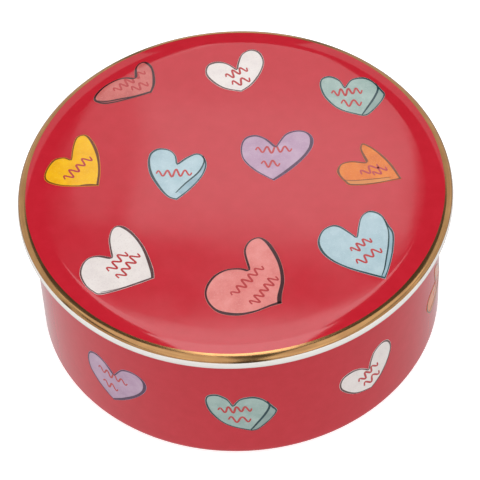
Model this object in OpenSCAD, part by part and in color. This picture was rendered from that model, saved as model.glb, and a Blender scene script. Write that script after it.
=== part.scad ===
// Round porcelain pill box with a lift-off lid: a slip-cast cup, a lid with a round gilded edge,
// and fired-on decoration of candy hearts on a red ground. +Z is up, the origin is the centre of
// the foot. Every decoration layer is a solid of its own, flush in or on the glaze below it.

/* [Box] */
// Widest diameter, across the lid's edge
box_d = 64; // [56:1:72]
// Height with the lid on, up to its flat red top
box_h = 25.4; // [22.9:0.5:32.4]
// How far the lid stands out over the top of the wall
overhang = 1.9; // [1.4:0.1:2.4]
// How much narrower, in radius, the wall is at the foot than at the rim
taper = 0.6; // [0.2:0.1:1.2]

/* [Cup] */
// Thickness of the wall
wall_t = 2.6; // [2:0.1:3.2]
// Thickness of the floor
floor_t = 2.8; // [2.2:0.1:3.6]
// Radius of the rounded edge where the wall turns under
heel_r = 1.3; // [1:0.1:1.6]
// Width of the flat ring that the cup stands on
foot_w = 2; // [1.4:0.1:2.6]
// Depth of the hollow inside the foot ring
foot_h = 0.8; // [0.5:0.1:1]

/* [Lid] */
// Radius of the round edge that runs about the lid
rim_r = 1.22; // [1.1:0.02:1.3]
// How far the flat top stands over the round edge, down a soft shoulder
crown = 0.3; // [0.2:0.05:0.4]
// Thickness of the lid inside the locating ring
lid_t = 2.6; // [2.2:0.1:2.7]
// Depth of the locating ring under the lid
ring_h = 2.9; // [2:0.1:4]
// Thickness of the locating ring
ring_t = 1.8; // [1.4:0.1:2.2]
// Gap all round between the locating ring and the wall
ring_gap = 0.7; // [0.4:0.1:1]
// Gap between the lid and the rim that it rests on
seat_gap = 0.1; // [0.05:0.05:0.2]

/* [Decoration] */
// Thickness of the red and gold layers, which lie flush in the glaze
skin = 0.1; // [0.1:0.02:0.2]
// Thickness of each heart, which lies on the red
print_t = 0.1; // [0.08:0.02:0.2]
// Width of the dark line round each heart
ink_w = 0.22; // [0.15:0.01:0.25]

/* [Hidden] */
$fn = 96;

// Radii and heights of the cup, and where the lid's underside lies
lid_r = box_d / 2;
wall_r = lid_r - overhang;
foot_r = wall_r - taper;
bore_r = wall_r - wall_t;
lid_z = box_h - crown - 2 * rim_r;
cup_h = lid_z - seat_gap;
lip_r = 0.5;          // rounding of the rim, inside and out
cove_r = 2.5;         // rounding inside the cup, between wall and floor
bare_lip_h = 1.2;     // height of the white strip over the red, which the lid's rim hides
red_top = cup_h - bare_lip_h;
red_turn = 65;        // degrees that the red follows the heel round under the wall

// The lid's section is a flat top, a soft shoulder and a round edge, each tangent to the next. A
// layer's offset moves every arc along its own radius.
shoulder_r = 16;
rim = [lid_r - rim_r, box_h - crown - rim_r];
shoulder_run = sqrt(pow(shoulder_r - rim_r, 2) - pow(shoulder_r - rim_r - crown, 2));
shoulder_turn = asin(shoulder_run / (shoulder_r - rim_r));
shoulder = [rim[0] - shoulder_run, box_h - shoulder_r];
seam_turn = 5;                // degrees of the round edge before its first point past the shoulder
gold_in = 91 - shoulder_turn;  // degrees round the shoulder, from level, where the gold begins
gold_out = 30;                // degrees round the edge, from its widest, where the gold ends
ring_r = bore_r - ring_gap;
ring_nose_r = 0.6;    // rounding of the locating ring's lower edge

RED = [0.72, 0.10, 0.15];
PORCELAIN = [0.93, 0.91, 0.88];
GOLD = [0.72, 0.55, 0.33];
INK = [0.20, 0.11, 0.14];
PINK = [0.92, 0.52, 0.52];
WHITE = [0.92, 0.90, 0.89];
AQUA = [0.58, 0.80, 0.75];
YELLOW = [0.98, 0.79, 0.08];
BLUE = [0.68, 0.84, 0.91];
LILAC = [0.74, 0.64, 0.81];
ORANGE = [0.93, 0.58, 0.20];

// Each heart is drawn by hand: the notch and the left side down to the tip, then the tip and the
// right side up to the notch. The notch is near [0, 0].
PINK_SMALL = [
    [[0, 0], [-1.5, 0.2], [-3.4, -0.5], [-5.2, -1.9], [-6.2, -3.5], [-5.8, -4.5], [-4, -4.9],
     [-0.5, -4.1], [2.5, -3.2]],
    [[2.5, -3.2], [3.1, -1.5], [3.1, 0.5], [2.7, 2.2], [1.8, 3.1], [0.8, 2.8], [0.1, 1.7], [0, 0]]
];
WHITE_SMALL = [
    [[0, 0.3], [-1.3, 1.5], [-2.8, 2], [-4.2, 1.5], [-4.7, 0], [-4.1, -1.6], [-2.2, -3.4],
     [0.5, -4.3]],
    [[0.5, -4.3], [2.2, -3], [3.6, -0.8], [4.2, 1.5], [3.6, 3.4], [2.3, 4], [0.9, 3.2],
     [0.2, 1.5], [0, 0.3]]
];
AQUA_HEART = [
    [[0, 0], [-0.7, 1.5], [-2.1, 2.4], [-3.4, 1.9], [-3.7, 0.3], [-3, -2], [-1, -4.4],
     [2.3, -5.9]],
    [[2.3, -5.9], [3.3, -5.6], [5, -3.7], [5.9, -2], [5.4, -0.8], [4.7, 0.3], [3.8, 1.3],
     [2.6, 1.8], [1, 1.4], [0, 0]]
];
YELLOW_HEART = [
    [[0, -0.5], [-1, 0], [-2.4, -0.3], [-3.4, -1.6], [-4, -3.4], [-3.6, -4.6], [-2, -5.4],
     [0.5, -5.8], [4, -5.9]],
    [[4, -5.9], [4.3, -3.5], [4.3, -1], [4, 1.2], [3.2, 3.2], [2.2, 4.2], [1, 3.8], [0.4, 2.2],
     [0, -0.5]]
];
BLUE_SMALL = [
    [[0, 0.1], [-0.2, 1.6], [-1.1, 2.8], [-2.7, 3.2], [-4, 2.3], [-4.4, 0.4], [-4.1, -2],
     [-2.8, -4.8], [-1.6, -6.4], [-0.4, -7]],
    [[-0.4, -7], [1.6, -5.2], [3.5, -2.8], [4.3, -0.6], [3.9, 1.1], [2.9, 1.8], [1.4, 1.2],
     [0, 0.1]]
];
LILAC_HEART = [
    [[0, 0], [-1.4, 1.6], [-3, 2.4], [-4.5, 1.9], [-5.2, 0.2], [-5, -2.2], [-3.5, -4.4],
     [-1.6, -6], [-0.6, -6.7]],
    [[-0.6, -6.7], [1.5, -5.2], [3.8, -3], [5.3, -0.8], [5.6, 1], [4.8, 2.3], [3.3, 2.8],
     [1.5, 2.2], [0, 0]]
];
ORANGE_HEART = [
    [[0.2, 0.1], [-1.8, 0.5], [-3.4, 0.1], [-4.1, -1], [-4, -2], [-3.2, -3.3], [-2.2, -4.2],
     [1, -4.2], [5.3, -3.5]],
    [[5.3, -3.5], [4, -0.5], [2.4, 1.8], [0.9, 3.3], [-0.1, 3.8], [-0.5, 2.8], [-0.2, 1.4],
     [0.2, 0.1]]
];
WHITE_LARGE = [
    [[0, 0], [-1.8, 0.5], [-3.4, 0.1], [-4.4, -1.2], [-4.7, -3], [-4, -5], [-2.9, -6.3],
     [-1.9, -6.9], [0.5, -6.4], [3.5, -5.4], [6.1, -4.4]],
    [[6.1, -4.4], [6, -2.5], [5, 1.2], [3.6, 4], [2.2, 5.6], [1, 5.9], [0.1, 5], [-0.3, 3],
     [0, 0]]
];
PINK_LARGE = [
    [[0, 0.1], [-1.2, 0.5], [-3.2, 0.4], [-5, -0.6], [-6.2, -2.4], [-6.5, -4.4], [-5.8, -6.4],
     [-4.4, -7.8], [-2, -8.4], [0.5, -8], [2.8, -7.1], [4.6, -6.6]],
    [[4.6, -6.6], [4.7, -5], [5.2, -2.2], [4.9, 1], [3.9, 4], [2.8, 5.6], [1.6, 6.1],
     [0.2, 5.3], [-0.5, 3.4], [0, 0.1]]
];
BLUE_LARGE = [
    [[0.1, 0.2], [-0.9, 1.3], [-2.2, 2.5], [-3.4, 2.7], [-4.8, 1.8], [-5.6, -0.2],
     [-5.2, -2.2], [-3.8, -4], [-1.5, -5.6], [1.2, -6.9], [3.8, -8]],
    [[3.8, -8], [4.5, -6], [5.3, -2.8], [5.6, 0.4], [4.9, 2.2], [4.1, 4], [3, 4.9],
     [1.9, 4.9], [0.8, 3.6], [0.1, 0.2]]
];

// The way the dark lines' heavy side faces
shadow = [0.8, -0.6];

// The hearts and their places are drawn for a box 64 across, and scale with it
drawn_share = box_d / 64;
// Hearts on the lid: [heart, place of its notch]
LID_HEARTS = [
    [PINK_SMALL, [-14, 22.9]], [WHITE_SMALL, [1.3, 23.15]], [AQUA_HEART, [17.2, 18.55]],
    [YELLOW_HEART, [-23.9, 8.1]], [BLUE_SMALL, [-8.2, 5.55]], [LILAC_HEART, [6.4, 7.85]],
    [ORANGE_HEART, [19.2, 3.55]], [WHITE_LARGE, [-18.5, -11.55]], [PINK_LARGE, [1.2, -15.5]],
    [BLUE_LARGE, [17.1, -10.7]]
];
// Hearts round the wall: [heart, degrees to its notch from the front, which faces -Y, height of
// its notch as a share of the cup's, size]
WALL_HEARTS = [
    [LILAC_HEART, -40, 0.55, 1], [AQUA_HEART, -4.2, 0.54, 1.08], [WHITE_SMALL, 36.8, 0.49, 1.1],
    [ORANGE_HEART, 73.5, 0.5, 1], [BLUE_LARGE, 112, 0.56, 0.85], [PINK_SMALL, 151, 0.54, 1.05],
    [YELLOW_HEART, 190, 0.54, 1], [WHITE_LARGE, 228, 0.54, 0.85], [BLUE_SMALL, 265, 0.56, 1]
];

// Points of an arc about a centre, from one angle to another
function arc(c, r, from, to, steps = 8) =
    [for (i = [0:steps]) let (a = from + (to - from) * i / steps) c + r * [cos(a), sin(a)]];

// A smooth curve through the points p, without its last point
function spline(p, steps = 4) = [
    for (i = [0:len(p) - 2]) for (s = [0:steps - 1])
        let (
            t = s / steps,
            a = p[max(i - 1, 0)],
            b = p[i],
            c = p[i + 1],
            d = p[min(i + 2, len(p) - 1)]
        )
        (2 * b + (c - a) * t + (2 * a - 5 * b + 4 * c - d) * t * t
            + (3 * b - a - 3 * c + d) * t * t * t) / 2
];

// The whole outline of a heart, with corners at its notch and its tip
function heart_outline(heart) = concat(spline(heart[0]), spline(heart[1]));

// The direction that an outline runs in at its point i
function heading(p, i) =
    let (n = len(p), d = p[(i + 1) % n] - p[(i + n - 1) % n])
    d / norm(d);

// The candy face: the outline moved in by the width of the dark line, which is heavy at the right
// and the bottom, like a shadow
function heart_face(heart) =
    let (p = heart_outline(heart))
    [for (i = [0:len(p) - 1]) let (
        t = heading(p, i),
        heavy = max(0, shadow * [t[1], -t[0]])
    ) p[i] + ink_w * (0.7 + 0.6 * heavy) * [-t[1], t[0]]];

// Half of the lid's red top, moved out by o: from its middle, flat and then down the shoulder to
// the gold
function red_line(o) = concat(
    [[0, box_h + o]],
    arc(shoulder, shoulder_r + o, 90, gold_in)
);

// The foot of the shoulder and the part of the round edge that the gold covers, moved out by o
function gold_line(o) = concat(
    arc(shoulder, shoulder_r + o, gold_in, 90 - shoulder_turn, 1),
    arc(rim, rim_r + o, 90 - shoulder_turn - seam_turn, gold_out)
);

// The outside of the wall that the red covers, from top to heel, moved out by o
function wall_line(o) = concat(
    [[wall_radius(red_top) + o, red_top]],
    arc([foot_r - heel_r, heel_r], heel_r + o, 0, -red_turn)
);

// Radius of the wall at a height, along its straight taper
function wall_radius(z) = foot_r + (wall_r - foot_r) * (z - heel_r) / (cup_h - heel_r);

// A point list read backwards
function backwards(p) = [for (i = [len(p) - 1:-1:0]) p[i]];

module base_cup() {
    color(PORCELAIN) rotate_extrude() polygon(concat(
        [[0, floor_t]],
        arc([bore_r - cove_r, floor_t + cove_r], cove_r, -90, 0),
        arc([bore_r + lip_r, cup_h - lip_r], lip_r, 180, 90, 5),
        arc([wall_r - lip_r, cup_h - lip_r], lip_r, 90, 0, 5),
        [[wall_radius(red_top), red_top]],
        wall_line(-skin),
        arc([foot_r - heel_r, heel_r], heel_r, -red_turn, -90, 3),
        [[foot_r - heel_r - foot_w, 0], [foot_r - heel_r - foot_w - foot_h, foot_h], [0, foot_h]]
    ));
}

module base_red_ground() {
    color(RED) rotate_extrude() polygon(concat(wall_line(0), backwards(wall_line(-skin))));
}

module lid_cover() {
    color(PORCELAIN) rotate_extrude() polygon(concat(
        red_line(-skin),
        gold_line(-skin),
        arc(rim, rim_r, gold_out, -90),
        [[ring_r, lid_z]],
        arc([ring_r - ring_nose_r, lid_z - ring_h + ring_nose_r], ring_nose_r, 0, -90, 5),
        arc([ring_r - ring_t + ring_nose_r, lid_z - ring_h + ring_nose_r], ring_nose_r, -90, -180, 5),
        [[ring_r - ring_t, box_h - lid_t], [0, box_h - lid_t]]
    ));
}

module lid_red_ground() {
    color(RED) rotate_extrude() polygon(concat(red_line(0), backwards(red_line(-skin))));
}

module lid_gold_rim() {
    color(GOLD) rotate_extrude() polygon(concat(gold_line(0), backwards(gold_line(-skin))));
}

// The printed layer over the red of the lid
module lid_layer() {
    rotate_extrude() polygon(concat(red_line(print_t), backwards(red_line(0))));
}

// The printed layer over the straight part of the wall
module wall_layer() {
    rotate_extrude() polygon([
        [foot_r, heel_r],
        [foot_r + print_t, heel_r],
        [wall_radius(red_top) + print_t, red_top],
        [wall_radius(red_top), red_top]
    ]);
}

// An outline as a column up through the lid, at a heart's place
module lid_column(points, heart) {
    translate([drawn_share * heart[1][0], drawn_share * heart[1][1], lid_z])
        linear_extrude(crown + 2 * rim_r + 2 * print_t) polygon(drawn_share * points);
}

// An outline as a column out through the wall, at a heart's place
module wall_column(points, heart) {
    rotate([0, 0, heart[1]]) translate([0, 0, heart[2] * cup_h])
        rotate([90, 0, 0]) linear_extrude(lid_r) polygon(drawn_share * heart[3] * points);
}

module lid_heart(i) {
    intersection() {
        lid_column(heart_face(LID_HEARTS[i][0]), LID_HEARTS[i]);
        lid_layer();
    }
}

module base_heart(i) {
    intersection() {
        wall_column(heart_face(WALL_HEARTS[i][0]), WALL_HEARTS[i]);
        wall_layer();
    }
}

module lid_heart_outlines() {
    color(INK) for (h = LID_HEARTS) intersection() {
        lid_column(heart_outline(h[0]), h);
        difference() {
            lid_layer();
            lid_column(heart_face(h[0]), h);
        }
    }
}

module base_heart_outlines() {
    color(INK) for (h = WALL_HEARTS) intersection() {
        wall_column(heart_outline(h[0]), h);
        difference() {
            wall_layer();
            wall_column(heart_face(h[0]), h);
        }
    }
}

module base_heart_lilac() { color(LILAC) base_heart(0); }
module base_heart_aqua() { color(AQUA) base_heart(1); }
module base_heart_white_small() { color(WHITE) base_heart(2); }
module base_heart_orange() { color(ORANGE) base_heart(3); }
module base_heart_blue_large() { color(BLUE) base_heart(4); }
module base_heart_pink_small() { color(PINK) base_heart(5); }
module base_heart_yellow() { color(YELLOW) base_heart(6); }
module base_heart_white_large() { color(WHITE) base_heart(7); }
module base_heart_blue_small() { color(BLUE) base_heart(8); }
module lid_heart_pink_small() { color(PINK) lid_heart(0); }
module lid_heart_white_small() { color(WHITE) lid_heart(1); }
module lid_heart_aqua() { color(AQUA) lid_heart(2); }
module lid_heart_yellow() { color(YELLOW) lid_heart(3); }
module lid_heart_blue_small() { color(BLUE) lid_heart(4); }
module lid_heart_lilac() { color(LILAC) lid_heart(5); }
module lid_heart_orange() { color(ORANGE) lid_heart(6); }
module lid_heart_white_large() { color(WHITE) lid_heart(7); }
module lid_heart_pink_large() { color(PINK) lid_heart(8); }
module lid_heart_blue_large() { color(BLUE) lid_heart(9); }

base_cup();
base_red_ground();
base_heart_outlines();
base_heart_lilac();
base_heart_aqua();
base_heart_white_small();
base_heart_orange();
base_heart_blue_large();
base_heart_pink_small();
base_heart_yellow();
base_heart_white_large();
base_heart_blue_small();
lid_cover();
lid_red_ground();
lid_gold_rim();
lid_heart_outlines();
lid_heart_pink_small();
lid_heart_white_small();
lid_heart_aqua();
lid_heart_yellow();
lid_heart_blue_small();
lid_heart_lilac();
lid_heart_orange();
lid_heart_white_large();
lid_heart_pink_large();
lid_heart_blue_large();
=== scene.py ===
"""The looks of a round porcelain pill box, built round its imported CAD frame.

Sections and drawings are in millimetres, and Solid.piece() turns them into the frame's metres. The
red, the gold, the hearts and their lines are thin closed layers over the porcelain. All but the
gold share one glaze, so that a reflection runs on from one to the next.
"""
import math

import bpy
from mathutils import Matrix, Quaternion, Vector
from mathutils.geometry import delaunay_2d_cdt


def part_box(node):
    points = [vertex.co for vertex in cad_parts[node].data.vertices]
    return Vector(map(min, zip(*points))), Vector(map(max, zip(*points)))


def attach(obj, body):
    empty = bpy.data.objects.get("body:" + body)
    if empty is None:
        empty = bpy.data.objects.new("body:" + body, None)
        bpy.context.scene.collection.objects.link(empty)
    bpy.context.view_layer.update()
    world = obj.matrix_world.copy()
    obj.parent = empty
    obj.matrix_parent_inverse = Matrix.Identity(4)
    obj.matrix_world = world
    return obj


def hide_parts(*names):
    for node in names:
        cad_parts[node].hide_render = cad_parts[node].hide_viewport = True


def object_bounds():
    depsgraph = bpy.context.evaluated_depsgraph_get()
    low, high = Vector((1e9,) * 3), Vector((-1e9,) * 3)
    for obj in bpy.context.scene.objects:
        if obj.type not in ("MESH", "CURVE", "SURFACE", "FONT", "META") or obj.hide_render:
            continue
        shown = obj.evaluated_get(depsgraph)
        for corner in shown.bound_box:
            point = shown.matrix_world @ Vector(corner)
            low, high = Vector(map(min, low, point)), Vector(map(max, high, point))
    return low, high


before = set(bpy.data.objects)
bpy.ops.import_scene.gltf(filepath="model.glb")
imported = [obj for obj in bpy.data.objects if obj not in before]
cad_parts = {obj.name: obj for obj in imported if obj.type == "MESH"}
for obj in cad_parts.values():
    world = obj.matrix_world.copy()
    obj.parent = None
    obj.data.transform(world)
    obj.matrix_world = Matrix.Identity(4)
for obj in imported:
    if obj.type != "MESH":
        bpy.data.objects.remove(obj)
cad_low, cad_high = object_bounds()

# A millimetre in the frame's metres, the steps round the axis of a turned piece, the spacing of
# the points within a heart, and the bend in degrees from which an edge stays sharp
MM = 0.001
TURNS = 288
GRID = 0.55
SHARP = 30

# Sizes that the frame holds
LID_R = cad_high.x / MM
BOX_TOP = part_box("lid_red_ground")[1].z / MM
CUP_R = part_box("base_cup")[1].x / MM
CUP_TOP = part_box("base_cup")[1].z / MM
RED_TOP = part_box("base_red_ground")[1].z / MM

# The cup: its wall tapers down to a rounded heel. The red goes RED_TURN degrees round the heel, and
# the bare foot ring starts at its bottom.
SEAT_GAP = 0.1
TAPER = 0.6
WALL_T = 2.6
FLOOR_T = 2.8
HEEL_R = 1.3
FOOT_W = 2
FOOT_H = 0.8
FOOT_BEVEL = Vector((0.25, 0.12))
LIP_R = 0.5
CUP_COVE_R = 2.5
RED_TURN = 65
FOOT_R = CUP_R - TAPER
BORE_R = CUP_R - WALL_T
LID_LOW = CUP_TOP + SEAT_GAP

# The lid's section: a flat top, a soft shoulder that turns down by SHOULDER_TURN, and a round edge,
# each tangent to the next. Angles on it are in degrees above level, as the surface faces. The gold
# runs from GOLD_IN to GOLD_OUT, with its inner edge GOLD_LEAN further in at the front and out at the
# back, and the red goes under it to RED_OUT. The top's line goes over into the edge's line at
# EDGE_IN, on the shoulder. The ring under the lid keeps it in place.
RIM_R = 1.22
CROWN = 0.3
SHOULDER_R = 16
SHOULDER_TURN = math.degrees(math.acos(1 - CROWN / (SHOULDER_R - RIM_R)))
RIM = Vector((LID_R - RIM_R, BOX_TOP - CROWN - RIM_R))
SHOULDER = RIM - (SHOULDER_R - RIM_R) * Vector((math.sin(math.radians(SHOULDER_TURN)),
                                                math.cos(math.radians(SHOULDER_TURN))))
EDGE_IN = 80
GOLD_IN = 79.25
GOLD_OUT = 30
GOLD_LEAN = 0.65
RED_OUT = 70
LID_T = 2.6
RING_H = 2.9
RING_T = 1.8
RING_GAP = 0.7
RING_NOSE_R = 0.6
RING_ROOT_R = 0.4
RING_R = BORE_R - RING_GAP

# Heights of the layers over the porcelain. Each one starts SUNK below it.
SUNK = -0.03
RED_H = 0.02
GOLD_H = 0.03
FACE_H = 0.045
SIDE_H = 0.055
INK_H = 0.07
MARK_H = 0.065

# Hearts as drawn, about the notch: the left side down to the tip, then the right side back up.
# "side" is the line where the candy's face turns to its edge, "heavy" says where the outline is
# heavy, as pairs of direction in degrees and width, and "rows" has the ends of each row of marks.
HEARTS = {
    "pink_small": dict(
        left=[(0, 0), (-1.5, 0.2), (-3.4, -0.5), (-5.2, -1.9), (-6.2, -3.5), (-5.8, -4.5),
              (-4, -4.9), (-0.5, -4.1), (2.5, -3.2)],
        right=[(2.5, -3.2), (3.1, -1.5), (3.1, 0.5), (2.7, 2.2), (1.8, 3.1), (0.8, 2.8),
               (0.1, 1.7), (0, 0)],
        side=[(-5.9, -4.1), (-4.2, -4.35), (-2, -4), (0, -3.65), (2.4, -2.9)],
        side_w=0.34, heavy=[(215, 0.24), (30, 0.2)],
        rows=[((-3, -2.4), (1.5, 1.2)), ((-0.3, -2.5), (1.8, -1))]),
    "white_small": dict(
        left=[(0, 0.3), (-1.3, 1.5), (-2.8, 2), (-4.2, 1.5), (-4.7, 0), (-4.1, -1.6), (-2.2, -3.4),
              (0.5, -4.3)],
        right=[(0.5, -4.3), (2.2, -3), (3.6, -0.8), (4.2, 1.5), (3.6, 3.4), (2.3, 4), (0.9, 3.2),
               (0.2, 1.5), (0, 0.3)],
        side=[], side_w=0, heavy=[(80, 0.06), (215, 0.05)],
        rows=[((-1.6, -1.2), (1.5, 0.4)), ((-0.7, -2.8), (1.8, -1.6))]),
    "aqua": dict(
        left=[(0, 0), (-0.7, 1.5), (-2.1, 2.4), (-3.4, 1.9), (-3.7, 0.3), (-3, -2), (-1, -4.4),
              (2.3, -5.9)],
        right=[(2.3, -5.9), (3.3, -5.6), (5, -3.7), (5.9, -2), (5.4, -0.8), (4.7, 0.3), (3.8, 1.3),
               (2.6, 1.8), (1, 1.4), (0, 0)],
        side=[(4.6, 0.4), (4.9, -0.7), (4.3, -2.3), (3.1, -4.3), (2.2, -5.7)],
        side_w=0.44, heavy=[(95, 0.1)],
        rows=[((-2, -1.1), (2.5, -0.8)), ((-0.7, -3.2), (2.3, -3.1))]),
    "yellow": dict(
        left=[(0, -0.5), (-1, 0), (-2.4, -0.3), (-3.4, -1.6), (-4, -3.4), (-3.6, -4.6), (-2, -5.4),
              (0.5, -5.8), (4, -5.9)],
        right=[(4, -5.9), (4.3, -3.5), (4.3, -1), (4, 1.2), (3.2, 3.2), (2.2, 4.2), (1, 3.8),
               (0.4, 2.2), (0, -0.5)],
        side=[(1.3, -5.6), (2.6, -5.55), (3.9, -5.75)],
        side_w=0.2, heavy=[(15, 0.16)],
        rows=[((-0.9, -4.3), (2.8, -0.2))]),
    "blue_small": dict(
        left=[(0, 0.1), (-0.2, 1.6), (-1.1, 2.8), (-2.7, 3.2), (-4, 2.3), (-4.4, 0.4), (-4.1, -2),
              (-2.8, -4.8), (-1.6, -6.4), (-0.4, -7)],
        right=[(-0.4, -7), (1.6, -5.2), (3.5, -2.8), (4.3, -0.6), (3.9, 1.1), (2.9, 1.8),
               (1.4, 1.2), (0, 0.1)],
        side=[(3.8, 1.2), (3.9, 0), (3, -1.9), (1, -3.9), (-0.5, -5.6)],
        side_w=0.34, heavy=[(190, 0.12), (100, 0.08)],
        rows=[((-3.2, -1.7), (2, -1.9))]),
    "lilac": dict(
        left=[(0, 0), (-1.4, 1.6), (-3, 2.4), (-4.5, 1.9), (-5.2, 0.2), (-5, -2.2), (-3.5, -4.4),
              (-1.6, -6), (-0.6, -6.7)],
        right=[(-0.6, -6.7), (1.5, -5.2), (3.8, -3), (5.3, -0.8), (5.6, 1), (4.8, 2.3), (3.3, 2.8),
               (1.5, 2.2), (0, 0)],
        side=[], side_w=0, heavy=[(-15, 0.26), (70, 0.1)],
        rows=[((-3, -0.6), (2.3, -0.7)), ((-2.3, -3.3), (0.4, -3.4))]),
    "orange": dict(
        left=[(0.2, 0.1), (-1.8, 0.5), (-3.4, 0.1), (-4.1, -1), (-4, -2), (-3.2, -3.3),
              (-2.2, -4.2), (1, -4.2), (5.3, -3.5)],
        right=[(5.3, -3.5), (4, -0.5), (2.4, 1.8), (0.9, 3.3), (-0.1, 3.8), (-0.5, 2.8),
               (-0.2, 1.4), (0.2, 0.1)],
        side=[(-3.1, -3.1), (-1.5, -3.3), (1.5, -3.2), (3.7, -3.05)],
        side_w=0.16, heavy=[(205, 0.12), (30, 0.06)],
        rows=[((-0.5, -2.2), (1.8, -0.4)), ((1.4, -2.5), (3, -1))]),
    "white_large": dict(
        left=[(0, 0), (-1.8, 0.5), (-3.4, 0.1), (-4.4, -1.2), (-4.7, -3), (-4, -5), (-2.9, -6.3),
              (-1.9, -6.9), (0.5, -6.4), (3.5, -5.4), (6.1, -4.4)],
        right=[(6.1, -4.4), (6, -2.5), (5, 1.2), (3.6, 4), (2.2, 5.6), (1, 5.9), (0.1, 5),
               (-0.3, 3), (0, 0)],
        side=[(-1.8, -6.45), (1, -5.95), (3.5, -5.1), (5.9, -4.2)],
        side_w=0.14, heavy=[(35, 0.24)],
        rows=[((-0.4, -2.6), (2, 0.8)), ((1, -4), (3.8, 0.4))]),
    "pink_large": dict(
        left=[(0, 0.1), (-1.2, 0.5), (-3.2, 0.4), (-5, -0.6), (-6.2, -2.4), (-6.5, -4.4),
              (-5.8, -6.4), (-4.4, -7.8), (-2, -8.4), (0.5, -8), (2.8, -7.1), (4.6, -6.6)],
        right=[(4.6, -6.6), (4.7, -5), (5.2, -2.2), (4.9, 1), (3.9, 4), (2.8, 5.6), (1.6, 6.1),
               (0.2, 5.3), (-0.5, 3.4), (0, 0.1)],
        side=[], side_w=0, heavy=[(10, 0.34), (250, 0.3), (120, 0.1)],
        rows=[((-2.5, -4.5), (2, 0.6)), ((0.3, -6.4), (3.9, -1.5))]),
    "blue_large": dict(
        left=[(0.1, 0.2), (-0.9, 1.3), (-2.2, 2.5), (-3.4, 2.7), (-4.8, 1.8), (-5.6, -0.2),
              (-5.2, -2.2), (-3.8, -4), (-1.5, -5.6), (1.2, -6.9), (3.8, -8)],
        right=[(3.8, -8), (4.5, -6), (5.3, -2.8), (5.6, 0.4), (4.9, 2.2), (4.1, 4), (3, 4.9),
               (1.9, 4.9), (0.8, 3.6), (0.1, 0.2)],
        side=[(4.3, 3.4), (4.8, 1), (4.65, -1.5), (4.2, -4), (3.8, -6), (3.3, -7.4)],
        side_w=0.3, heavy=[(225, 0.1), (70, 0.08)],
        rows=[((-0.7, -2.4), (2, -0.2)), ((0, -4.8), (3.4, -2.2))]),
}
LID_HEARTS = ["pink_small", "white_small", "aqua", "yellow", "blue_small", "lilac", "orange",
              "white_large", "pink_large", "blue_large"]
WALL_HEARTS = ["lilac", "aqua", "white_small", "orange", "blue_large", "pink_small", "yellow",
               "white_large", "blue_small"]
# Hearts whose candy differs from the colour that their name gives. The small pink heart's rose tone
# is partly a deeper pink of its own and partly painted shade, darker for the weaker sheen that it
# has.
TINTS = {"pink_small": "rose_and_shade"}
# The dark lines' colour on each kind of candy, and their least width
INKS = {"pink": "ink_maroon", "white": "ink_grey", "aqua": "ink_teal", "yellow": "ink_brown",
        "blue": "ink_teal", "lilac": "ink_violet", "orange": "ink_brown"}
LINE_W = 0.22
# How far in from the candy's edge its dark line and its side strip start
LINE_IN = 0.06
SIDE_IN = 0.1
# The wavy marks: the length of a wave, half its height, and the brush's width
MARK_WAVE = 1.25
MARK_RISE = 0.6
MARK_W = 0.42
# How the CAD draws a candy's face in from its outline: a width all round, and more on one side
FACE_INSET = 0.22
FACE_HEAVY = Vector((0.8, -0.6))


# ---------------------------------------------------------------- outlines

def spline(points, steps):
    """A smooth curve through the points, without its last one."""
    p = [Vector(q) for q in points]
    curve = []
    for i in range(len(p) - 1):
        a, b, c, d = p[max(i - 1, 0)], p[i], p[i + 1], p[min(i + 2, len(p) - 1)]
        for s in range(steps):
            t = s / steps
            curve.append((2 * b + (c - a) * t + (2 * a - 5 * b + 4 * c - d) * t * t
                          + (3 * b - a - 3 * c + d) * t ** 3) / 2)
    return curve


def heart_outline(heart, steps=8):
    """The whole outline of a heart, with corners at its notch and its tip."""
    return spline(heart["left"], steps) + spline(heart["right"], steps)


def outward(loop):
    """Outward normals of a loop that runs counter-clockwise."""
    n = len(loop)
    ways = [(loop[(i + 1) % n] - loop[i - 1]).normalized() for i in range(n)]
    return [Vector((w.y, -w.x)) for w in ways]


def inset(loop, widths):
    """A loop moved in along its normals, by one width or by one for each point."""
    if not isinstance(widths, list):
        widths = [widths] * len(loop)
    return [p - n * w for p, n, w in zip(loop, outward(loop), widths)]


def cad_face(name):
    """The candy's face as the CAD draws it."""
    loop = heart_outline(HEARTS[name], 4)
    widths = [FACE_INSET * (0.7 + 0.6 * max(0, n.dot(FACE_HEAVY))) for n in outward(loop)]
    return inset(loop, widths)


def extent(points):
    """The lowest and highest corner of some points."""
    xs = [p[0] for p in points]
    ys = [p[1] for p in points]
    return Vector((min(xs), min(ys))), Vector((max(xs), max(ys)))


def inside(p, loop):
    """Whether a point lies in a loop."""
    odd = False
    for a, b in zip(loop, loop[1:] + loop[:1]):
        if (a.y > p.y) != (b.y > p.y) and p.x < a.x + (p.y - a.y) * (b.x - a.x) / (b.y - a.y):
            odd = not odd
    return odd


def clear_of(p, loop, gap):
    """Whether a point is at least a gap away from every point of a loop."""
    return all((p - q).length_squared > gap * gap for q in loop)


# ---------------------------------------------------------------- surfaces

def arc(centre, radius, start, end, steps=10):
    """Points of an arc about a centre, with angles in degrees."""
    angles = [math.radians(start + (end - start) * i / steps) for i in range(steps + 1)]
    return [Vector((centre[0] + radius * math.cos(a), centre[1] + radius * math.sin(a)))
            for a in angles]


def wall_radius(z):
    """Radius of the wall at a height, along its straight taper."""
    return FOOT_R + (CUP_R - FOOT_R) * (z - HEEL_R) / (CUP_TOP - HEEL_R)


def top_height(r):
    """Height and slope of the lid's top at a radius."""
    run = r - SHOULDER.x
    if run <= 0:
        return BOX_TOP, 0
    drop = math.sqrt(SHOULDER_R ** 2 - run ** 2)
    return SHOULDER.y + drop, -run / drop


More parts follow.
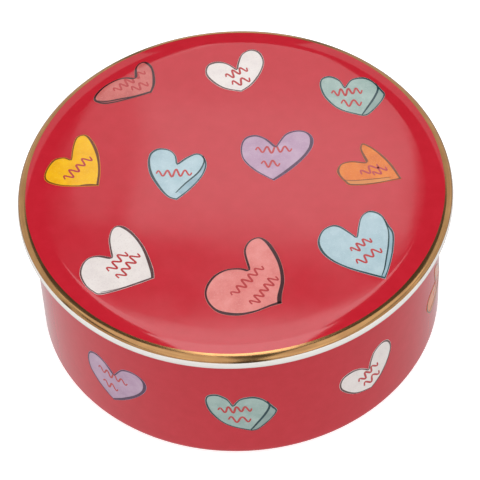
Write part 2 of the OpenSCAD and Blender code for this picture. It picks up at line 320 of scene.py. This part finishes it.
def edge_line(o, start, end):
    """The shoulder's foot and the round edge between two angles, moved out by o."""
    seam = 90 - SHOULDER_TURN
    return (arc(SHOULDER, SHOULDER_R + o, start, seam, 4)[:-1]
            + arc(RIM, RIM_R + o, seam, end, 14))


def top_line(o):
    """The lid's top from its middle to where the red ends under the gold, moved out by o."""
    flat = [Vector((SHOULDER.x * i / 16, BOX_TOP + o)) for i in range(16)]
    return (flat + arc(SHOULDER, SHOULDER_R + o, 90, EDGE_IN, 12)[:-1]
            + edge_line(o, EDGE_IN, RED_OUT))


def on_lid(at):
    """A function that puts a drawing's point on the lid's top, at a height over it, for a heart
    with its notch at a place."""
    def place(p, h):
        x, y = at[0] + p[0], at[1] + p[1]
        r = math.hypot(x, y)
        z, slope = top_height(r)
        tilt = slope / max(r, 1)
        return Vector((x, y, z)) + h * Vector((-tilt * x, -tilt * y, 1)).normalized()
    return place


def on_wall(turn, z, size):
    """A function that puts a drawing's point on the wall, at a height over it, for a heart with
    its notch at a turn from the front and a height, drawn at a size."""
    cos, sin = math.cos(turn), math.sin(turn)

    def place(p, h):
        u, v = size * p[0], z + size * p[1]
        out = math.sqrt(wall_radius(v) ** 2 - u * u)
        u *= 1 + h / out
        out += h
        return Vector((u * cos + out * sin, u * sin - out * cos, v))
    return place


def lid_place(name):
    """Where the CAD has a lid heart's notch."""
    low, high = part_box("lid_heart_" + name)
    face_low, face_high = extent(cad_face(name))
    return on_lid((low.xy + high.xy) / 2 / MM - (face_low + face_high) / 2)


def wall_place(name):
    """Where the CAD has a wall heart's notch, and its size."""
    low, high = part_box("base_heart_" + name)
    face = cad_face(name)
    face_low, face_high = extent(face)
    size = (high.z - low.z) / MM / (face_high.y - face_low.y)
    z = low.z / MM - size * face_low.y
    middle = math.atan2(low.x + high.x, -(low.y + high.y))
    turns = [math.atan2(v.co.x, -v.co.y) - middle for v in
             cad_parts["base_heart_" + name].data.vertices]
    turns = [(t + math.pi) % math.tau - math.pi for t in turns]
    reach = [math.asin(size * p.x / wall_radius(z + size * p.y)) for p in face]
    turn = middle + (min(turns) + max(turns) - min(reach) - max(reach)) / 2
    return on_wall(turn, z, size)


# ---------------------------------------------------------------- meshes

class Solid:
    """Corners and faces of one piece, gathered from closed solids."""

    def __init__(self):
        self.corners = []
        self.faces = []
        self.kinds = []

    def add(self, corners, faces, kind=0):
        """Adds a closed solid whose faces all take one of the piece's materials."""
        start = len(self.corners)
        self.corners += corners
        self.faces += [tuple(start + i for i in f) for f in faces]
        self.kinds += [kind] * len(faces)

    def loft(self, loops, closed, kind=0):
        """A solid through loops of as many points each, round in a ring or from end to end."""
        n = len(loops[0])
        faces = []
        for i in range(len(loops) if closed else len(loops) - 1):
            a, b = i * n, (i + 1) % len(loops) * n
            faces += [(a + j, a + (j + 1) % n, b + (j + 1) % n, b + j) for j in range(n)]
        if not closed:
            faces.append(tuple(range(n))[::-1])
            faces.append(tuple(range(len(loops) * n - n, len(loops) * n)))
        self.add([p for loop in loops for p in loop], faces, kind)

    def piece(self, name, materials, body, slot, nodes=()):
        """Makes the Blender object, which rides on a body and stands for some CAD nodes."""
        mesh = bpy.data.meshes.new(name)
        mesh.from_pydata([tuple(MM * c for c in p) for p in self.corners], [], self.faces)
        for m in materials:
            mesh.materials.append(m)
        mesh.polygons.foreach_set("material_index", self.kinds)
        mesh.polygons.foreach_set("use_smooth", [True] * len(self.faces))
        mesh.set_sharp_from_angle(angle=math.radians(SHARP))
        mesh.validate()
        mesh.update()
        obj = bpy.data.objects.new(name, mesh)
        bpy.context.scene.collection.objects.link(obj)
        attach(obj, body)
        if nodes:
            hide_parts(*nodes)
        return obj


def turned(section, kind_of=None):
    """A solid turned about the axis. section(angle) gives its points, counter-clockwise seen with
    the axis on the left, and points on the axis become one corner each. kind_of gives the material
    of the stretch between two points."""
    solid = Solid()
    rows = [section(math.tau * i / TURNS) for i in range(TURNS)]
    n = len(rows[0])
    on_axis = [p[0] < 1e-6 for p in rows[0]]
    corners = []
    index = []
    for i, row in enumerate(rows):
        angle = math.tau * i / TURNS
        index.append([])
        for j, p in enumerate(row):
            if on_axis[j] and i:
                index[i].append(index[0][j])
                continue
            index[i].append(len(corners))
            corners.append(Vector((p[0] * math.cos(angle), p[0] * math.sin(angle), p[1])))
    for j in range(n):
        k = (j + 1) % n
        if on_axis[j] and on_axis[k]:
            continue
        kind = kind_of(rows[0][j], rows[0][k]) if kind_of else 0
        for i in range(TURNS):
            m = (i + 1) % TURNS
            face = [index[i][j], index[m][j], index[m][k], index[i][k]]
            face = list(dict.fromkeys(face))
            solid.faces.append(tuple(face))
            solid.kinds.append(kind)
    solid.corners += corners
    return solid


def plate(solid, loop, place, low, high, kind=0, bevel=0.02):
    """A thin closed solid over a drawn loop, which follows the surface below it."""
    rim = inset(loop, bevel)
    first, last = extent(rim)
    grid = []
    for i in range(1, int((last.x - first.x) / GRID) + 1):
        for j in range(1, int((last.y - first.y) / GRID) + 1):
            p = Vector((first.x + GRID * (i - 0.5 * (j % 2)), first.y + GRID * j))
            if inside(p, rim) and clear_of(p, rim, 0.4 * GRID):
                grid.append(p)
    n = len(rim)
    ring = [(i, (i + 1) % n) for i in range(n)]
    made = delaunay_2d_cdt(rim + grid, ring, [list(range(n))], 1, 1e-6)
    points, triangles, came = made[0], made[2], made[3]
    foot = [loop[c[0]] if c and c[0] < n else p for c, p in zip(came, points)]
    corners = [place(p, high) for p in points] + [place(p, low) for p in foot]
    shift = len(points)
    edges = {(t[i - 1], t[i]) for t in triangles for i in range(3)}
    faces = [tuple(t) for t in triangles]
    faces += [tuple(shift + i for i in reversed(t)) for t in triangles]
    faces += [(b, a, a + shift, b + shift) for a, b in sorted(edges) if (b, a) not in edges]
    solid.add(corners, faces, kind)


def stroke(solid, points, width, place, low, high, kind=0, blunt=0.3):
    """One brush stroke along a curve: it swells from thin ends, and its top is a little crowned."""
    n = len(points)
    loops = []
    for i, p in enumerate(points):
        way = (points[min(i + 1, n - 1)] - points[max(i - 1, 0)]).normalized()
        side = Vector((-way.y, way.x))
        t = i / (n - 1)
        half = width / 2 * (blunt + (1 - blunt) * math.sin(math.pi * t) ** 0.6)
        loops.append([place(p + side * half, low), place(p + side * half * 0.7, high),
                      place(p - side * half * 0.7, high), place(p - side * half, low)])
    solid.loft(loops[::-1], False, kind)


# ---------------------------------------------------------------- materials

def srgb(r, g, b):
    """A display colour, from 0 to 255 a channel, as the linear colour that the shaders take."""
    linear = [c / 255 / 12.92 if c < 11 else ((c / 255 + 0.055) / 1.055) ** 2.4
              for c in (r, g, b)]
    return (*linear, 1)


def tree(name):
    """A new material, with its node tree and its Principled shader."""
    material = bpy.data.materials.new(name)
    material.use_nodes = True
    return material, material.node_tree, material.node_tree.nodes["Principled BSDF"]


def node(nt, kind, links=(), **values):
    """A node with some sockets' values set by name, and others linked as (socket, source)."""
    made = nt.nodes.new(kind)
    for key, value in values.items():
        if key in made.inputs:
            made.inputs[key].default_value = value
        else:
            setattr(made, key, value)
    for socket, source in links:
        nt.links.new(source, made.inputs[socket])
    return made


def noise(nt, where, scale, detail=3, roughness=0.5):
    """A noise pattern's value over some coordinates, with the scale in patches a metre."""
    return node(nt, "ShaderNodeTexNoise", [("Vector", where)], Scale=scale, Detail=detail,
                Roughness=roughness).outputs["Fac"]


def ramp(nt, factor, stops):
    """Colours or grey levels along a factor, as pairs of place and colour."""
    made = node(nt, "ShaderNodeValToRGB", [("Fac", factor)])
    band = made.color_ramp
    while len(band.elements) < len(stops):
        band.elements.new(0.5)
    for element, (at, colour) in zip(band.elements, stops):
        element.position = at
        element.color = colour if isinstance(colour, tuple) else (colour, colour, colour, 1)
    return made.outputs["Color"]


def blend_in(nt, factor, a, b):
    """A colour output mixed by a factor output with another colour, which may be a fixed one. The
    node's colour sockets share their names with its number ones, so they are taken by place."""
    made = nt.nodes.new("ShaderNodeMix")
    made.data_type = "RGBA"
    factor_in, a_in, b_in = (made.inputs[i] for i in (0, 6, 7))
    nt.links.new(factor, factor_in)
    nt.links.new(a, a_in)
    if isinstance(b, tuple):
        b_in.default_value = b
    else:
        nt.links.new(b, b_in)
    return made.outputs[2]


# Roughness of the glaze where it is glossiest and dullest
GLOSS = 0.045
DULL = 0.07
# Depths of the glaze's slow waves and of its fine grain, in metres
GLAZE_WAVE = 0.000025
GLAZE_GRAIN = 0.0000004


def glaze_ripple(nt, where, shader):
    """The slow waves of a poured glaze, the same over every layer under it, and a fine grain."""
    slow = noise(nt, where, 45, 1)
    bump = node(nt, "ShaderNodeBump", [("Height", slow)], Strength=1, Distance=GLAZE_WAVE)
    fine = noise(nt, where, 900, 2)
    top = node(nt, "ShaderNodeBump", [("Height", fine), ("Normal", bump.outputs["Normal"])],
               Strength=1, Distance=GLAZE_GRAIN)
    nt.links.new(top.outputs["Normal"], shader.inputs["Normal"])


def fired_colour(name, tones, mottle=500, speck=None):
    """A fired-on colour under the glaze: soft mottling through some tones, and fine specks. The
    tones are spread over the middle of the noise, where most of its values lie."""
    material, nt, shader = tree(name)
    where = node(nt, "ShaderNodeTexCoord").outputs["Object"]
    patches = noise(nt, where, mottle, 4, 0.6)
    step = 0.6 / (len(tones) - 1)
    colour = ramp(nt, patches, [(0.2 + step * i, srgb(*t)) for i, t in enumerate(tones)])
    if speck:
        dots = noise(nt, where, 5200, 2, 0.7)
        mask = ramp(nt, dots, [(0.56, 0.0), (0.74, 0.55)])
        colour = blend_in(nt, mask, colour, srgb(*speck))
    nt.links.new(colour, shader.inputs["Base Color"])
    wear = noise(nt, where, 160, 3)
    nt.links.new(ramp(nt, wear, [(0.3, GLOSS), (0.7, DULL)]), shader.inputs["Roughness"])
    shader.inputs["IOR"].default_value = 1.5
    glaze_ripple(nt, where, shader)
    return material


def bare_clay():
    """The unglazed foot: matt, slightly warm, with a fine sandy grain."""
    material, nt, shader = tree("bare_foot")
    where = node(nt, "ShaderNodeTexCoord").outputs["Object"]
    grain = noise(nt, where, 4000, 4, 0.7)
    tones = ramp(nt, grain, [(0.3, srgb(205, 196, 182)), (0.6, srgb(226, 219, 208))])
    nt.links.new(tones, shader.inputs["Base Color"])
    nt.links.new(ramp(nt, grain, [(0, 0.8), (1, 0.95)]), shader.inputs["Roughness"])
    bump = node(nt, "ShaderNodeBump", [("Height", grain)], Strength=1, Distance=0.00002)
    nt.links.new(bump.outputs["Normal"], shader.inputs["Normal"])
    return material


# Metres that the gold's pattern moves on for each radian round the box: few, to draw out streaks
STREAK = 0.0012


def gold_lustre():
    """Fired gold, laid on with a brush round the edge, so its streaks run round."""
    material, nt, shader = tree("gold_lustre")
    where = node(nt, "ShaderNodeTexCoord").outputs["Object"]
    parts = node(nt, "ShaderNodeSeparateXYZ", [("Vector", where)])
    x, y, z = (parts.outputs[c] for c in "XYZ")
    turn = node(nt, "ShaderNodeMath", [(0, y), (1, x)], operation="ARCTAN2").outputs[0]
    flat = node(nt, "ShaderNodeCombineXYZ", [("X", x), ("Y", y)]).outputs[0]
    out = node(nt, "ShaderNodeVectorMath", [(0, flat)], operation="LENGTH").outputs["Value"]
    slow_turn = node(nt, "ShaderNodeMath", [(0, turn)], operation="MULTIPLY")
    slow_turn.inputs[1].default_value = STREAK
    round_about = node(nt, "ShaderNodeCombineXYZ",
                       [("X", out), ("Y", slow_turn.outputs[0]), ("Z", z)]).outputs[0]
    streaks = noise(nt, round_about, 3500, 3, 0.6)
    patches = noise(nt, where, 300, 3)
    tones = ramp(nt, streaks, [(0.3, srgb(166, 124, 80)), (0.55, srgb(182, 140, 92)),
                               (0.75, srgb(196, 156, 108))])
    worn = ramp(nt, patches, [(0.35, 0.0), (0.65, 0.5)])
    nt.links.new(blend_in(nt, worn, tones, srgb(152, 108, 72)), shader.inputs["Base Color"])
    shader.inputs["Metallic"].default_value = 1
    nt.links.new(ramp(nt, streaks, [(0.3, 0.1), (0.7, 0.18)]), shader.inputs["Roughness"])
    bump = node(nt, "ShaderNodeBump", [("Height", streaks)], Strength=1, Distance=0.000003)
    nt.links.new(bump.outputs["Normal"], shader.inputs["Normal"])
    return material


PORCELAIN = fired_colour("porcelain", [(238, 233, 227), (243, 240, 236)], mottle=120)
BARE = bare_clay()
RED = fired_colour("red_ground", [(194, 23, 41), (199, 27, 45), (204, 32, 50)], mottle=500)
GOLD = gold_lustre()
CANDIES = {kind: fired_colour("candy_" + kind, tones, speck=speck) for kind, (tones, speck) in {
    "pink": ([(218, 118, 115), (230, 136, 131), (238, 152, 146)], (240, 176, 168)),
    # The rose tones: partly a deeper pink of the candy's own, partly painted shade
    "rose_and_shade": ([(192, 88, 86), (206, 106, 101), (216, 122, 116)], (222, 150, 142)),
    "white": ([(228, 218, 215), (238, 229, 225), (243, 236, 232)], (204, 192, 192)),
    "aqua": ([(142, 168, 161), (160, 183, 177), (180, 200, 193)], (198, 214, 208)),
    "yellow": ([(238, 166, 2), (250, 186, 4), (254, 203, 14)], (250, 210, 80)),
    "blue": ([(160, 188, 198), (176, 201, 210), (192, 214, 221)], (212, 229, 235)),
    "lilac": ([(172, 137, 165), (187, 153, 180), (201, 172, 194)], (208, 186, 202)),
    "orange": ([(212, 100, 8), (227, 116, 12), (236, 134, 22)], (238, 166, 96)),
}.items()}
SIDES = {kind: fired_colour("side_" + kind, tones) for kind, tones in {
    "pink": [(202, 92, 96), (218, 120, 120)],
    # The rose side tones: partly a deeper pink of the candy's own, partly painted shade
    "rose_and_shade": [(180, 70, 74), (198, 96, 96)],
    "white": [(200, 188, 186), (218, 208, 206)],
    "aqua": [(130, 152, 148), (158, 180, 174)],
    "yellow": [(214, 140, 20), (232, 164, 20)],
    "blue": [(136, 168, 182), (170, 198, 208)],
    "lilac": [(156, 124, 152), (176, 146, 170)],
    "orange": [(206, 118, 46), (224, 144, 70)],
}.items()}
INK = {name: fired_colour(name, tones, mottle=900) for name, tones in {
    "ink_maroon": [(44, 12, 20), (74, 24, 32)],
    "ink_teal": [(16, 46, 54), (34, 76, 82)],
    "ink_violet": [(60, 32, 62), (92, 56, 92)],
    "ink_brown": [(96, 42, 16), (134, 68, 26)],
    "ink_grey": [(70, 44, 46), (108, 74, 74)],
}.items()}
MARK = fired_colour("mark_red", [(176, 48, 54), (204, 74, 74)], mottle=1500)


# ---------------------------------------------------------------- turned pieces

def wall_line(o):
    """The outside of the wall that the red covers, from top to heel, moved out by o."""
    rise = [Vector((wall_radius(z) + o, z)) for z in
            [RED_TOP + (HEEL_R - RED_TOP) * i / 16 for i in range(16)]]
    return rise + arc((FOOT_R - HEEL_R, HEEL_R), HEEL_R + o, 0, -RED_TURN, 8)


def cup_section(_):
    """The cup's whole section, from the middle of the floor round to that of the underside."""
    floor = [Vector((BORE_R - CUP_COVE_R, FLOOR_T)) * s + Vector((0, FLOOR_T)) * (1 - s)
             for s in (0, 0.4, 0.8)]
    foot_in = FOOT_R - HEEL_R - FOOT_W
    under = [(foot_in, 0), (foot_in - FOOT_BEVEL.x, FOOT_BEVEL.y), (foot_in - FOOT_H, FOOT_H),
             (0.5 * foot_in, FOOT_H), (0, FOOT_H)]
    return (floor + arc((BORE_R - CUP_COVE_R, FLOOR_T + CUP_COVE_R), CUP_COVE_R, -90, 0)
            + arc((BORE_R + LIP_R, CUP_TOP - LIP_R), LIP_R, 180, 90, 8)
            + arc((CUP_R - LIP_R, CUP_TOP - LIP_R), LIP_R, 90, 0, 8)
            + wall_line(0)
            + arc((FOOT_R - HEEL_R, HEEL_R), HEEL_R, -RED_TURN - 3, -90, 4)
            + [Vector(p) for p in under])[::-1]


def is_bare(a, b):
    """Which material a stretch of the cup's section has: 1 for the foot ring's bare face."""
    return int(max(a[1], b[1]) < 1.25 * FOOT_BEVEL.y)


def lid_section(_):
    """The lid's whole section, from the middle of the top round to that of the underside."""
    nose_out = (RING_R - RING_NOSE_R, LID_LOW - RING_H + RING_NOSE_R)
    nose_in = (RING_R - RING_T + RING_NOSE_R, nose_out[1])
    under = BOX_TOP - LID_T
    inner = RING_R - RING_T
    root = RING_ROOT_R
    return (top_line(0) + arc(RIM, RIM_R, RED_OUT, -90, 14)[1:]
            + arc((RING_R + root, LID_LOW - root), root, 90, 180, 4)
            + arc(nose_out, RING_NOSE_R, 0, -90, 6)
            + arc(nose_in, RING_NOSE_R, -90, -180, 6)
            + arc((inner - root, under - root), root, 0, 90, 4)
            + [Vector((0.5 * inner, under)), Vector((0, under))])[::-1]


def red_wall_section(_):
    """The thin red layer on the wall."""
    return (wall_line(RED_H) + wall_line(SUNK)[::-1])[::-1]


def red_top_section(_):
    """The thin red layer on the lid."""
    return (top_line(RED_H) + top_line(SUNK)[::-1])[::-1]


def gold_section(angle):
    """The gold band's section. It was brushed on wider at the front than at the back, and its
    edges waver."""
    front = -math.sin(angle)
    start = (GOLD_IN + GOLD_LEAN * front
             + 0.04 * math.sin(4 * angle + 2) + 0.03 * math.sin(17 * angle))
    end = GOLD_OUT + 1.2 * math.sin(5 * angle + 1) + 0.8 * math.sin(13 * angle)
    return (edge_line(GOLD_H, start, end) + edge_line(SUNK, start, end)[::-1])[::-1]


turned(cup_section, is_bare).piece(
    "cup_porcelain", [PORCELAIN, BARE], "base", "porcelain", ["base_cup"])
turned(red_wall_section).piece(
    "cup_red_ground", [RED], "base", "red_ground", ["base_red_ground"])
turned(lid_section).piece(
    "lid_porcelain", [PORCELAIN], "lid", "porcelain", ["lid_cover"])
turned(red_top_section).piece(
    "lid_red_top", [RED], "lid", "red_ground", ["lid_red_ground"])
turned(gold_section).piece(
    "lid_gold_band", [GOLD], "lid", "gold_lustre", ["lid_gold_rim"])


# ---------------------------------------------------------------- hearts

def line_widths(heart, loop):
    """Width of the dark line at each point of a heart's outline: thin, uneven, and heavy where
    the drawing says."""
    widths = []
    phase = heart["left"][2][0]
    for i, n in enumerate(outward(loop)):
        width = LINE_W
        for turn, extra in heart["heavy"]:
            turn = math.radians(turn)
            width += 1.3 * extra * max(0, n.dot(Vector((math.cos(turn), math.sin(turn))))) ** 2
        run = 24 * i / len(loop)
        uneven = 0.8 + 0.25 * math.sin(run + phase) * math.sin(0.37 * run + 2 * phase)
        widths.append(width * uneven)
    return widths


def dark_line(solid, heart, place, kind):
    """The dark line round a heart, a hair in from the candy's edge."""
    loop = inset(heart_outline(heart), LINE_IN)
    inner = inset(loop, line_widths(heart, loop))
    loops = [[place(a, SUNK), place(a, INK_H), place(b, INK_H), place(b, SUNK)]
             for a, b in zip(loop, inner)]
    solid.loft(loops, True, kind)


def candy_side(solid, heart, place):
    """The candy's edge: the strip of its face between the side line and the outline."""
    line = spline(heart["side"], 8)
    loop = inset(heart_outline(heart), SIDE_IN)
    ends = [min(range(len(loop)), key=lambda i: (loop[i] - p).length)
            for p in (line[0], line[-1])]
    n = len(loop)
    ahead = [loop[(ends[0] + i) % n] for i in range((ends[1] - ends[0]) % n + 1)]
    behind = [loop[(ends[0] - i) % n] for i in range((ends[0] - ends[1]) % n + 1)]
    around = ahead if len(ahead) < len(behind) else behind
    strip = around[::-1] + line[1:-1]
    turn = sum(a.x * b.y - b.x * a.y for a, b in zip(strip, strip[1:] + strip[:1]))
    plate(solid, strip if turn > 0 else strip[::-1], place, SUNK, SIDE_H, 1, bevel=0.01)


def marks(solid, rows, place):
    """A loose wavy brush line along each row, in the place of the lettering."""
    for a, b in rows:
        a, b = Vector(a), Vector(b)
        length = (b - a).length
        way = (b - a) / length
        up = Vector((-way.y, way.x))
        waves = round(length / MARK_WAVE)
        points = []
        for i in range(16 * waves + 1):
            t = i / (16 * waves)
            height = MARK_RISE * (1 + 0.2 * math.sin(9 * t + a.x))
            points.append(a + way * length * t + up * height * math.sin(math.tau * waves * t))
        stroke(solid, points, MARK_W, place, SUNK, MARK_H, blunt=0.7)


def candy(name, place, body, node_name):
    """One candy heart, with its side strip where the drawing has one."""
    heart = HEARTS[name]
    colour = name.split("_")[0]
    tint = TINTS.get(name, colour)
    solid = Solid()
    plate(solid, heart_outline(heart), place, SUNK, FACE_H)
    if heart["side"]:
        candy_side(solid, heart, place)
    solid.piece(node_name.replace("heart", "candy_heart"), [CANDIES[tint], SIDES[tint]],
                body, "candy_" + colour, [node_name])


def candy_lines(hearts, body, node_start):
    """The dark lines and the marks of one body's hearts, as two pieces."""
    lines, scribbles = Solid(), Solid()
    inks = list(INK)
    for name, place in hearts:
        heart = HEARTS[name]
        kind = inks.index(INKS[name.split("_")[0]])
        dark_line(lines, heart, place, kind)
        if heart["side"]:
            stroke(lines, spline(heart["side"], 8) + [Vector(heart["side"][-1])],
                   heart["side_w"], place, SUNK, INK_H, kind, blunt=0.35)
        marks(scribbles, heart["rows"], place)
    lines.piece(node_start + "_dark_lines", [INK[i] for i in inks], body, "ink",
                [node_start + "_heart_outlines"])
    scribbles.piece(node_start + "_wavy_marks", [MARK], body, "red_ground")


lid_hearts = [(name, lid_place(name)) for name in LID_HEARTS]
wall_hearts = [(name, wall_place(name)) for name in WALL_HEARTS]
for name, place in lid_hearts:
    candy(name, place, "lid", "lid_heart_" + name)
for name, place in wall_hearts:
    candy(name, place, "base", "base_heart_" + name)
candy_lines(lid_hearts, "lid", "lid")
candy_lines(wall_hearts, "base", "base")


# ---------------------------------------------------------------- studio

# Distance of the light panels from the box, in metres
PANEL_AWAY = 1.2
# The floor's half width, and how far it lies below the foot, so that they never share a plane
FLOOR_REACH = 4
FLOOR_DROP = 0.05 * MM
# Radiance of the white table to the left and right below the box, and of the dim room above
TABLE_LEFT = 0.72
TABLE_RIGHT = 0.58
DIM = 0.16


def towards(azimuth, elevation):
    """A direction from the box. Azimuth 0 is the camera's side and 90 the right."""
    a, e = math.radians(azimuth), math.radians(elevation)
    return Vector((math.sin(a) * math.cos(e), -math.cos(a) * math.cos(e), math.sin(e)))


def panel(name, azimuth, elevation, width, height, radiance, roll=0.0, forward=0.0):
    """A soft light panel that faces the box, with its width and height as angles in degrees.
    forward moves it from there towards the camera's side, in metres."""
    light = bpy.data.lights.new(name, "AREA")
    light.shape = "RECTANGLE"
    light.size = 2 * PANEL_AWAY * math.tan(math.radians(width) / 2)
    light.size_y = 2 * PANEL_AWAY * math.tan(math.radians(height) / 2)
    light.energy = radiance * math.pi * light.size * light.size_y
    obj = bpy.data.objects.new(name, light)
    away = towards(azimuth, elevation)
    obj.location = Vector((0, -forward, cad_high.z)) + PANEL_AWAY * away
    obj.rotation_mode = "QUATERNION"
    turn = Quaternion((0, 0, 1), math.radians(roll))
    obj.rotation_quaternion = away.to_track_quat("Z", "Y") @ turn
    obj.visible_camera = False
    bpy.context.scene.collection.objects.link(obj)


def studio_world():
    """Dim above and pale below, as over a white table, and pale to the camera."""
    world = bpy.data.worlds.new("studio")
    world.use_nodes = True
    nt = world.node_tree
    nt.nodes.clear()
    way = node(nt, "ShaderNodeTexCoord").outputs["Generated"]
    parts = node(nt, "ShaderNodeSeparateXYZ", [("Vector", way)])
    across = node(nt, "ShaderNodeMapRange", [("Value", parts.outputs["X"])])
    across.inputs["From Min"].default_value = -1
    table = ramp(nt, across.outputs["Result"], [(0.1, TABLE_LEFT), (0.9, TABLE_RIGHT)])
    above = node(nt, "ShaderNodeMapRange", [("Value", parts.outputs["Z"])])
    above.inputs["From Min"].default_value = -0.03
    above.inputs["From Max"].default_value = 0.03
    room = blend_in(nt, above.outputs["Result"], table, (DIM, DIM, DIM, 1))
    seen = node(nt, "ShaderNodeLightPath").outputs["Is Camera Ray"]
    colour = blend_in(nt, seen, room, (1, 1, 1, 1))
    back = node(nt, "ShaderNodeBackground", [("Color", colour)])
    out = nt.nodes.new("ShaderNodeOutputWorld")
    nt.links.new(back.outputs[0], out.inputs["Surface"])
    bpy.context.scene.world = world


def pale_floor():
    """The floor: plain and pale, seen only from above and only by the camera."""
    material = bpy.data.materials.new("floor")
    material.use_nodes = True
    nt = material.node_tree
    shader = nt.nodes["Principled BSDF"]
    shader.inputs["Base Color"].default_value = srgb(248, 248, 248)
    shader.inputs["Roughness"].default_value = 0.9
    shader.inputs["Specular IOR Level"].default_value = 0
    shader.inputs["Emission Color"].default_value = (1, 1, 1, 1)
    shader.inputs["Emission Strength"].default_value = 0.6
    clear = nt.nodes.new("ShaderNodeBsdfTransparent")
    below = node(nt, "ShaderNodeNewGeometry").outputs["Backfacing"]
    mix = node(nt, "ShaderNodeMixShader", [("Fac", below)])
    nt.links.new(shader.outputs[0], mix.inputs[1])
    nt.links.new(clear.outputs[0], mix.inputs[2])
    nt.links.new(mix.outputs[0], nt.nodes["Material Output"].inputs["Surface"])
    mesh = bpy.data.meshes.new("floor")
    corners = [(FLOOR_REACH * x, FLOOR_REACH * y, 0) for x, y in
               ((-1, -1), (1, -1), (1, 1), (-1, 1))]
    mesh.from_pydata(corners, [], [(0, 1, 2, 3)])
    mesh.materials.append(material)
    floor = bpy.data.objects.new("floor", mesh)
    bpy.context.scene.collection.objects.link(floor)
    floor.location.z = -FLOOR_DROP
    floor.visible_diffuse = False
    floor.visible_glossy = False
    floor.visible_transmission = False
    floor.visible_shadow = False


studio_world()
pale_floor()
# Behind the box: the broad sheen on the lid's flat top, then the one along its front shoulder
panel("rear_high", 178.8, 49.45, 5.1, 2.5, 2.1, roll=-6)
panel("rear_high_foot", 178.1, 44.35, 5.5, 7.7, 1.5, roll=-6)
panel("rear_high_left", 182.35, 45.1, 0.9, 10.2, 1.2, roll=-12)
panel("rear_top", 181, 51.6, 6, 1.8, 0.25, roll=-6)
panel("rear_over", 180.5, 57, 10, 10, 2.6)
panel("rear_over_top", 180.5, 69, 12.5, 14, 3.5)
# Low behind it: the line of light along the back of the lid's edge
panel("rear_low", 180, 11, 16, 22, 1.2)
# Over it and round it: the general light, and the wall's sheen
panel("over_left", -90, 64.6, 86, 44, 1.2, forward=0.87)
panel("over_right", 90, 59.4, 86, 44, 1.2, forward=0.87)
panel("front_left", -44, 12, 74, 36, 0.85)
panel("front_right", 49, 12, 74, 36, 0.85)
panel("side_left", -127, 22, 80, 50, 0.8)
panel("side_right", 127, 22, 80, 50, 0.8)


# ---------------------------------------------------------------- camera

# Angles in degrees, distances in metres, and the lens in millimetres. FOCUS is on the axis, a
# little under the lid's top.
ELEVATION = 49.8
ROLL = 3.4
DISTANCE = 0.8
LENS = 408.8
FOCUS = Vector((0, 0, 23.4 * MM))
# The camera aims a little below the lid, so that the whole box is in view
AIM_RIGHT = 0.294 * MM
AIM_DOWN = 6.193 * MM


def photo_camera():
    """The camera: a long lens from above the front, held a little rolled."""
    data = bpy.data.cameras.new("camera")
    data.lens = LENS
    data.sensor_width = 36
    data.clip_start = 0.05
    data.clip_end = 20
    camera = bpy.data.objects.new("camera", data)
    away = towards(0, ELEVATION)
    view_up = Vector((0, math.sin(math.radians(ELEVATION)), math.cos(math.radians(ELEVATION))))
    camera.location = FOCUS + DISTANCE * away
    aim = FOCUS + Vector((AIM_RIGHT, 0, 0)) - AIM_DOWN * view_up
    look = (aim - camera.location).to_track_quat("-Z", "Y")
    camera.rotation_mode = "QUATERNION"
    camera.rotation_quaternion = look @ Quaternion((0, 0, 1), -math.radians(ROLL))
    bpy.context.scene.collection.objects.link(camera)
    bpy.context.scene.camera = camera


photo_camera()
bpy.context.scene.view_settings.view_transform = "Standard"
